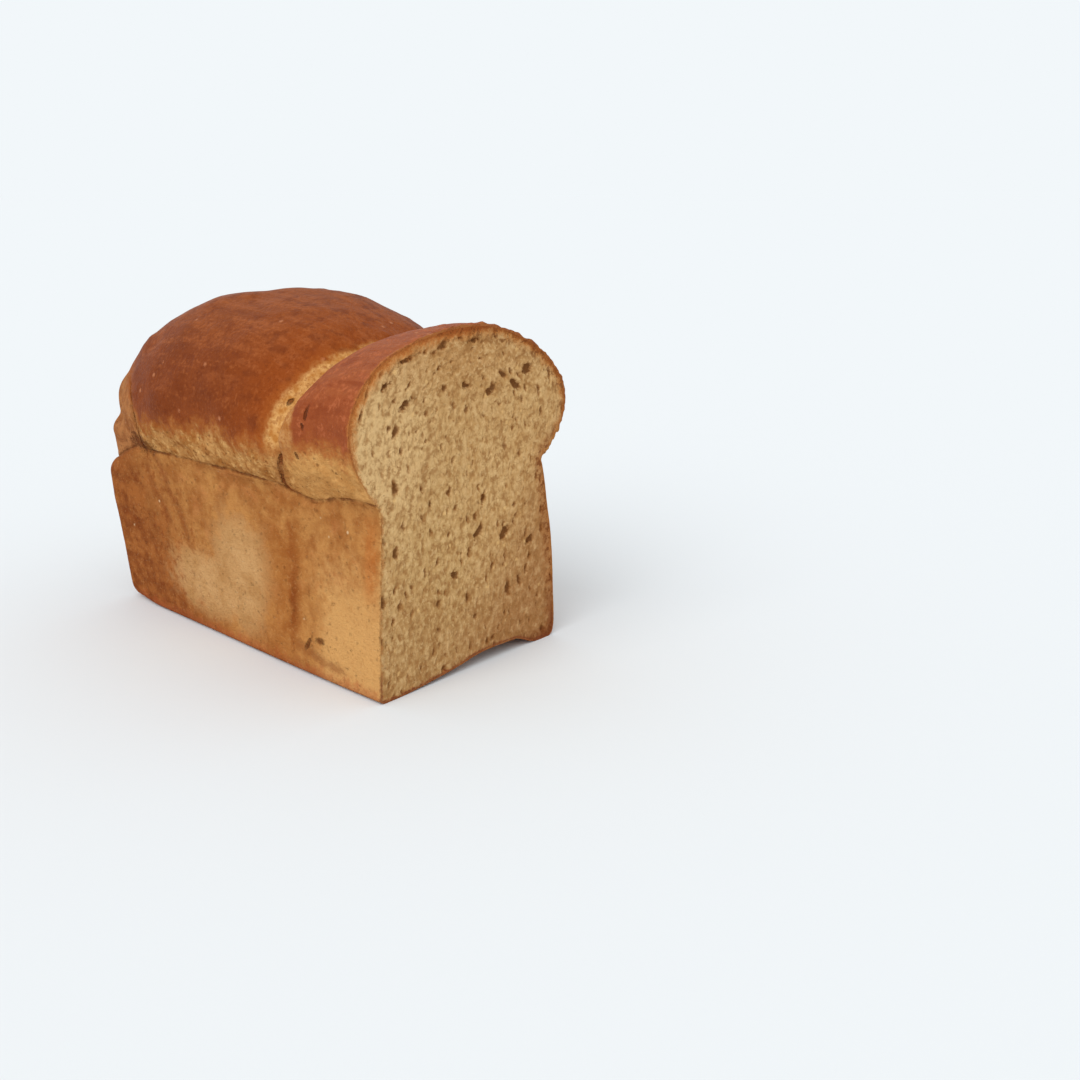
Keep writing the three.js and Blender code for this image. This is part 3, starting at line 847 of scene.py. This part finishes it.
def crust_finish():
    """Red-brown satin top, rough tan torn band, and the orange-tan wall that the tin pressed."""
    material, nodes = new_finish("baked crust")
    ease, hump, between = nodes.ease, nodes.hump, nodes.between
    s, y, z, at = loaf_place(nodes)
    above_edge = painted(nodes, "above_edge")
    above_rim = painted(nodes, "above_rim")
    from_seam = painted(nodes, "from_seam")
    to_crack = painted(nodes, "crack")
    broad = nodes.grain(at, 34, 2)
    patchy = nodes.grain(at, 11, 3, 0.55)
    blotch = nodes.grain(at, 4.2, 4, 0.6)
    speckle = nodes.grain(at, 1.6, 3, 0.6)
    dust = nodes.grain(at, 0.6, 2, 0.6)
    soft = nodes.grain(at, 5.5, 1)
    left_side = ease(y, -20, -36)

    # The browned top, with painted sheen towards its crown and painted shade on its right shoulder
    streaks = nodes.grain(nodes.vector_maths("MULTIPLY", at, (0.12, 1, 0.8)), 4, 3, 0.6)
    in_front = ease(from_seam, -3, 3)
    fleck = ease(nodes.cells(at, 12) + dust * 0.1, 0.12, 0.04)
    near_cut = ease(s + soft * 4 + speckle * 5, 1.4, -0.8) * ease(above_rim, 0, 6)
    top = nodes.layered(
        nodes.tinted(0.5 + patchy * 2.6 + broad, (108, 50, 21), (130, 64, 28)),
        (ease(s + patchy * 70, 104, 48) * 0.65, (144, 68, 20)),
        # Lighter towards the crown along the streaks: the crust's streaked tone with painted sheen over it
        (ease(z + streaks * 60, 124, 156) * 0.5, (146, 80, 40)),
        # Lighter high on the front lobe: a painted highlight
        (ease(z + soft * 20, 118, 136) * in_front * 0.3, (158, 96, 62)),
        (in_front * 0.35, (150, 80, 56)),
        # Lighter streaks high on the dome: painted sheen along the crust's streaks
        (ease(streaks + speckle * 0.5, 0, 0.15) * ease(z, 96, 146) * 0.35, (156, 86, 46)),
        (ease(soft + patchy * 0.9, -0.04, 0.34) * (0.5 - in_front * 0.35), (96, 40, 15)),
        (ease(speckle + blotch * 0.5, 0.04, 0.2) * 0.3, (158, 90, 48)),
        (ease(dust - speckle * 0.8, 0.06, 0.24) * (0.35 - in_front * 0.2), (84, 32, 12)),
        (ease(blotch + speckle * 0.5, 0.02, 0.16) * in_front * 0.5, (174, 96, 60)),
        (ease(blotch * -1 - streaks, 0.02, 0.24) * in_front * 0.5, (122, 54, 26)),
        # Darker on the right shoulder, away from the light: painted shade
        (ease(y + soft * 30, 8, 44) * 0.4, (92, 46, 24)),
        (fleck * 0.6, (192, 124, 84)),
        (near_cut * 0.5, (166, 100, 48)),
    )

    # The torn band below it
    upright = nodes.grain(nodes.vector_maths("MULTIPLY", at, (1, 1, 0.75)), 2.2, 3, 0.55)
    strip = ease(s, 160, 167)
    far_strip = nodes.tinted(0.5 + blotch * 4 + patchy * 2, (132, 74, 40), (168, 110, 66))
    pinholes = ease(nodes.cells(at, 4) + dust * 0.5, 0.2, 0.04)
    band = nodes.layered(
        nodes.tinted(0.5 + patchy * 4, (160, 106, 54), (188, 137, 81)),
        (ease(blotch + upright * 0.4, 0, 0.14) * 0.7, (150, 92, 42)),
        (ease(blotch * -1 + speckle * 0.4, 0.02, 0.16) * 0.65, (210, 162, 102)),
        (ease(upright + speckle * 0.6, 0.08, 0.24) * 0.5, (122, 68, 28)),
        (ease(s, 58, 44) * 0.55, (206, 150, 86)),
        (strip * 0.85, far_strip),
        (pinholes * (1 - strip * 0.8) * 0.5, (104, 58, 26)),
    )
    edge_noise = above_edge + blotch * 11 + soft * 9 + speckle * 8
    is_top = ease(edge_noise, -6, 5)

    # The stretched band behind the seam, and the front lobe, which turns pale where it rounds into the seam
    stretch_noise = painted(nodes, "stretch") + blotch * 7 + speckle * 5
    behind = ease(from_seam, 0.8, -0.8) * ease(above_edge, -4, 4)
    behind = behind * ease(z + soft * 8, 142, 135) * ease(y, -2, -14)
    pulled = nodes.layered(
        nodes.tinted(0.5 + blotch * 3 + upright * 2, (176, 116, 54), (212, 162, 100)),
        (ease(speckle + blotch * 0.6, 0.02, 0.16) * 0.55, (142, 82, 34)),
    )
    rounding = ease(s + speckle * 4 + blotch * 5, 32.5, 36.5) * ease(from_seam, 0, 2)
    rounding = rounding * ease(z + blotch * 8, 123, 117) * left_side * is_top
    risen = nodes.layered(
        nodes.tinted(is_top, band, top),
        (hump(edge_noise, 0.4, 3.8) * 0.45, (162, 88, 34)),
        (ease(stretch_noise, -8, -1) * behind * 0.45, (160, 86, 32)),
        (ease(stretch_noise, -2.4, 3) * behind * 0.95, pulled),
        (rounding * 0.85, nodes.tinted(0.35, pulled, (140, 76, 30))),
    )

    # The wall
    uneven = patchy * 90 + blotch * 40
    far_brown = ease(s + uneven * (0.35 + left_side * 0.65) - (z - 40) * 0.5, 118, 172)
    reddish = nodes.tinted(0.5 + soft * 2 + patchy * 2, (120, 60, 25), (150, 86, 40))

    def patch(middle_s, middle_z, long, high):
        ds = (s - middle_s) / long
        dz = (z - middle_z) / high
        return nodes.maths("SQRT", ds * ds + dz * dz)

    pale_reach = nodes.maths("MINIMUM", patch(94, 36, 24, 30), patch(116, 25, 42, 17))
    pale = ease(pale_reach + patchy * 1.2 + blotch * 0.5, 1.2, 0.55) * left_side
    pale_tone = nodes.tinted(0.5 + patchy * 3 + blotch, (174, 128, 78), (194, 150, 100))
    near_pale = ease(s + patchy * 30 + blotch * 16, 46, 28) * ease(z + blotch * 50, 70, 28)
    warm_end = hump(s + blotch * 10, 6, 4) * between(z, 44, 74, 8) * left_side
    at_end = ease(s, 196, 202)
    hidden_pale = ease(broad + soft * 0.5 + patchy * 0.3, -0.02, 0.26) * (1 - left_side)
    beside = ease(s + blotch * 18, 48, 58) * ease(s + blotch * 18, 84, 64)
    beside = beside * ease(z + patchy * 50, 80, 50) * left_side
    streak = hump(s + soft * 8 + blotch * 3 - (z - 40) * 0.05, 56.6, 3)
    streak = streak * between(z + blotch * 20, 8, 64, 10) * left_side
    darker_spot = hump(z, 32, 12) * hump(s + blotch * 6, 56, 2.2) * left_side
    wrinkled = ease(blotch * 1.6 + upright, 0.06, 0.26) * ease(s + patchy * 50, 116, 146)
    wrinkle = ease(painted(nodes, "wrinkle") + blotch * 7, 3.4, 0) * left_side
    wall = nodes.layered(
        nodes.tinted(0.5 + broad * 2 + patchy * 2.6 + soft * 1.4, (152, 94, 46), (178, 122, 66)),
        (ease(soft - patchy, 0.04, 0.24) * 0.35, (176, 108, 62)),
        (far_brown * 0.9, reddish),
        (pale * 0.9, pale_tone),
        (near_pale * left_side * 0.8, (204, 154, 94)),
        (warm_end * 0.55, (172, 94, 38)),
        (hidden_pale * (0.6 - at_end * 0.3), (182, 132, 80)),
        (beside * 0.5, (154, 90, 38)),
        (streak * 0.55, (132, 66, 24)),
        (darker_spot * 0.6, (112, 50, 16)),
        (wrinkled * (0.4 - at_end * 0.3), (112, 50, 18)),
        (wrinkle * 0.5, (120, 58, 24)),
        (ease(z + blotch * 14, 8, 1) * 0.6, (158, 78, 42)),
        (ease(z + speckle * 3, 2, 0.4) * 0.6, (112, 54, 32)),
        (ease(speckle + dust * 0.3, 0.03, 0.2) * 0.24, (144, 84, 40)),
        (ease(speckle * -1 + dust * 0.3, 0.03, 0.2) * 0.16, (206, 156, 100)),
        (ease(nodes.cells(at, 16), 0.06, 0.02) * 0.6, (220, 190, 150)),
    )
    is_wall = ease(above_rim + speckle * 1.6, 1, -0.6)

    # Creases, cracks and pits, with painted shade in the creases
    lip = ease(nodes.noise(at, 7, 2), 0.4, 0.58)
    rim_line = hump(above_rim + speckle * 1.4, 0.5, 0.65) * (0.25 + lip * 0.75) * (1 - strip * 0.5)
    seam_line = hump(from_seam + speckle * 2, 0, 1) * ease(above_edge, 30, 4)
    seam_line = seam_line * ease(above_edge, -3, 3) * (0.4 + lip * 0.6)
    crack = ease(to_crack + speckle * 2.4, 1.3, 0.2) * (0.5 + lip * 0.5) * (1 - is_wall)
    around_crack = ease(to_crack + blotch * 8, 4.5, 0.5) * (1 - is_wall)
    # The dark lines are partly the crust's own darker red-brown and partly painted shade in the creases
    dark_line = nodes.most(rim_line, seam_line, crack)
    pits = pit_mask(nodes, s, z, left_side, speckle * 1.8 + blotch * 2)

    # The thin edge at the cut, where the crust shows its own thickness
    cut_edge = ease(s + speckle * 3 + blotch * 2, 0.9, -0.2)
    edge_tone = nodes.layered(
        nodes.tinted(ease(above_rim, -2, 12), (192, 142, 86), (172, 106, 54)),
        (ease(y + z * 0.3 + soft * 30, 0, 50) * 0.8, (158, 98, 52)),
        (ease(speckle + blotch, -0.04, 0.08) * 0.7, (116, 62, 28)),
        (ease(z + soft * 20, 14, 6) * 0.85, (122, 64, 38)),
    )
    colour = nodes.layered(
        nodes.tinted(is_wall, risen, wall),
        (around_crack * 0.4, (136, 72, 32)),
        # Dark lines along the rim crease, the seam and the cracks: partly the crust's darker colour, partly
        # painted shade
        (dark_line * 0.75, (108, 48, 18)),
        (pits * 0.75, (92, 40, 12)),
        (cut_edge * 0.7, edge_tone),
    )

    sheen = is_top * (1 - is_wall)
    roughness = 0.8 - sheen * 0.3 + blotch * 0.2
    height = (
        (1 - sheen) * (speckle * 1.1 + dust * 0.4)
        + sheen * (streaks * 0.4 + speckle * 0.5 + dust * 0.2)
        + (upright * 0.8 + blotch * 0.8) * (1 - is_top) * (1 - is_wall)
        - pinholes * (1 - sheen) * 0.4
        - wrinkle * is_wall * 0.5
        - dark_line * 1.4
        - pits * 1.6
        + fleck * sheen * 0.4
    )
    finish_surface(nodes, colour, roughness, height, CRUST_BUMP, CRUST_GLOSS)
    return material


def crumb_finish():
    """Open brown crumb: painted shade down its holes and cells, redder low on the right, and orange-brown at
    the crust.
    """
    material, nodes = new_finish("open crumb")
    ease, hump = nodes.ease, nodes.hump
    _, y, z, at = loaf_place(nodes)
    rim = painted(nodes, "rim")
    hollow = painted(nodes, "hollow")
    open_cells = painted(nodes, "open")
    broad = nodes.grain(at, 30, 2)
    patchy = nodes.grain(at, 7, 3, 0.6)
    mottle = nodes.grain(at, 3.2, 2, 0.55)
    speckle = nodes.grain(at, 1.3, 3, 0.65)
    dust = nodes.grain(at, 0.5, 2, 0.6)
    high = ease(z, 84, 124)

    # The crumb and its cells
    greener = hump(y + broad * 40, -22, 26) * hump(z + patchy * 40, 56, 48)
    left_light = ease(y + patchy * 30, -8, -44) * ease(z + patchy * 30, 56, 96)
    low_right = ease(y * 0.6 - (z - 60) * 0.45 + patchy * 40, 2, 40)
    strand = nodes.grain(at, 3.4, 1, 0.5, 1)
    strand = hump(strand + speckle * 0.12, 0, 0.022) * ease(patchy, -0.12, 0.08)
    # Paler where the fine cells are closed: painted light on the ridges between the cells
    pale_cells = ease(open_cells + speckle, 0.2, -0.1) * (1 - low_right * 0.7)
    bran = ease(nodes.cells(at, 4.6) + dust * 0.3, 0.13, 0.05)
    crumbs = ease(nodes.cells(at, 9) + speckle * 0.2, 0.14, 0.05) * (1 - bran)
    open_crumb = nodes.layered(
        nodes.tinted(0.5 + patchy * 3 + broad, (186, 141, 88), (204, 164, 110)),
        (greener * 0.4, (188, 152, 98)),
        (left_light * 0.8, (216, 178, 124)),
        (ease(z + patchy * 40, 62, 14) * 0.5, (168, 126, 78)),
        (low_right * 0.85, (162, 112, 68)),
        (ease(z + patchy * 40, 112, 142) * 0.4, (168, 112, 62)),
        (ease(mottle, -0.02, 0.16) * 0.6, (148, 100, 54)),
        (ease(mottle * -1, 0.02, 0.2) * 0.35, (218, 178, 126)),
        (strand * 0.5, (136, 88, 44)),
        # Darker in the open cells and paler on the crumb between them: painted shade in the cells, painted
        # light on the ridges
        (ease(open_cells + speckle, 0.25, 0.9) * 0.4, (146, 100, 54)),
        (pale_cells * 0.4, (226, 190, 136)),
        (bran * 0.5, (128, 74, 36)),
        (crumbs * 0.5, (232, 188, 124)),
        # Darker down the holes by their depth: painted shade in the holes
        (ease(hollow + speckle * 0.9, 0.1, 0.6) * 0.6, (144, 92, 46)),
        (ease(hollow + speckle * 0.7, 0.5, 1.1) * 0.7, (98, 54, 22)),
    )

    # The baked rim of the face
    far_side = ease(y + (z - 100) * 0.6, -16, 34) * high
    right_side = ease(y + patchy * 8, 34, 46) * ease(z, 112, 84)
    near_left = ease(y + (z - 120) * -0.6, 4, -22) * high
    near_crust = ease(rim + patchy * 6 + speckle * 6, 1.8 + high * 3.4 + near_left * 1.6, 0.8)
    baked = nodes.tinted(far_side, (194, 128, 70), (184, 112, 50))
    baked = nodes.tinted(near_left * 0.7, baked, (202, 122, 56))
    near_right = ease(rim + patchy * 9 + speckle * 4, 8, 1.5) * right_side
    at_crust = ease(rim + speckle * 6 + patchy * 5, 0.9 + far_side * 2 + near_left * 2.6, 0.4)
    burnt = nodes.tinted(near_left, (138, 72, 30), (158, 86, 40))
    low_corner = ease(y - z + patchy * 20, 22, 46) * ease(rim + speckle * 5, 8, 0.5)
    base_edge = ease(z, 16, 7) * ease(rim + speckle * 3 + patchy * 2, 2, 0.6)
    rough_side = nodes.most(far_side, right_side, low_corner)
    specks = ease(speckle + mottle * 0.8, 0.02, 0.12) * ease(rim, 8, 1.5) * rough_side
    colour = nodes.layered(
        open_crumb,
        (near_crust * (0.5 + high * 0.3 + near_left * 0.15), baked),
        (near_right * 0.6, (158, 98, 52)),
        (at_crust * (0.3 + far_side * 0.5 + near_left * 0.45), burnt),
        (low_corner * 0.8, (118, 62, 32)),
        (base_edge * 0.85, (118, 60, 36)),
        (specks * 0.75, (108, 54, 24)),
    )
    height = speckle * (0.7 + near_crust * 1.5) + dust * 0.3
    finish_surface(nodes, colour, 0.88 + speckle * 0.1, height, CRUMB_BUMP, CRUMB_GLOSS)
    return material


# Soft daylight from the left, in front and above, as strong all over the ground
KEY = {"strength": 1.5, "spread": 50, "tilt": 48, "turn": 12}


def soft_key():
    data = bpy.data.lights.new("key", "SUN")
    data.energy = KEY["strength"]
    data.angle = math.radians(KEY["spread"])
    lamp = placed("key", data)
    lamp.rotation_euler = (math.radians(KEY["tilt"]), 0, math.radians(KEY["turn"]))


FLOOR_SPAN = 80.0
SKY = (242, 247, 250)


def pale_floor():
    half = FLOOR_SPAN / 2
    mesh = bpy.data.meshes.new("floor")
    corners = [(-half, -half, 0), (half, -half, 0), (half, half, 0), (-half, half, 0)]
    mesh.from_pydata(corners, [], [(0, 1, 2, 3)])
    material, nodes = new_finish("pale ground")
    # The ground gives back as much light as the sky sends, so that the two meet without an edge
    key_light = KEY["strength"] * math.cos(math.radians(KEY["tilt"])) / math.pi
    ground = [share / (share + key_light) for share in tone(*SKY)[:3]]
    sockets = {"Base Color": (*ground, 1.0), "Roughness": 1.0, "Specular IOR Level": 0.0}
    surface = nodes.add("ShaderNodeBsdfPrincipled", None, sockets)
    nodes.add("ShaderNodeOutputMaterial", None, {"Surface": surface})
    mesh.materials.append(material)
    return placed("floor", mesh)


def pale_sky():
    world = bpy.data.worlds.new("studio")
    world.use_nodes = True
    world.node_tree.nodes.clear()
    nodes = Nodes(world.node_tree)
    glow = nodes.add("ShaderNodeBackground", None, {"Color": tone(*SKY), "Strength": 1.0})
    nodes.add("ShaderNodeOutputWorld", None, {"Surface": glow})
    bpy.context.scene.world = world


# The photograph's view: place and reach in metres, turn and tilt in degrees, lens and frame in millimetres
VIEW = {
    "place": (0.43883, -0.33265, 0.1997), "turn": 41.47, "tilt": 73.29, "lens": 38.67, "frame": 36,
    "reach": (0.01, 60),
}


def place_camera():
    data = bpy.data.cameras.new("view")
    data.sensor_width = VIEW["frame"]
    data.lens = VIEW["lens"]
    data.clip_start, data.clip_end = VIEW["reach"]
    camera = placed("view", data)
    camera.location = VIEW["place"]
    camera.rotation_euler = (math.radians(VIEW["tilt"]), 0, math.radians(VIEW["turn"]))
    bpy.context.scene.camera = camera


place_camera()
pale_sky()
soft_key()
floor = pale_floor()
bpy.context.scene.view_settings.view_transform = "Standard"

crust = shaped("loaf_crust", crust_mesh(), crust_relief(), CRUST_RELIEF, crust_finish())
crumb = shaped("loaf_crumb", crumb_mesh(), crumb_holes(), CRUMB_HOLES, crumb_finish())
for piece, slot in ((crust, "crust"), (crumb, "crumb")):
    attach(piece, "root")
    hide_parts("loaf")
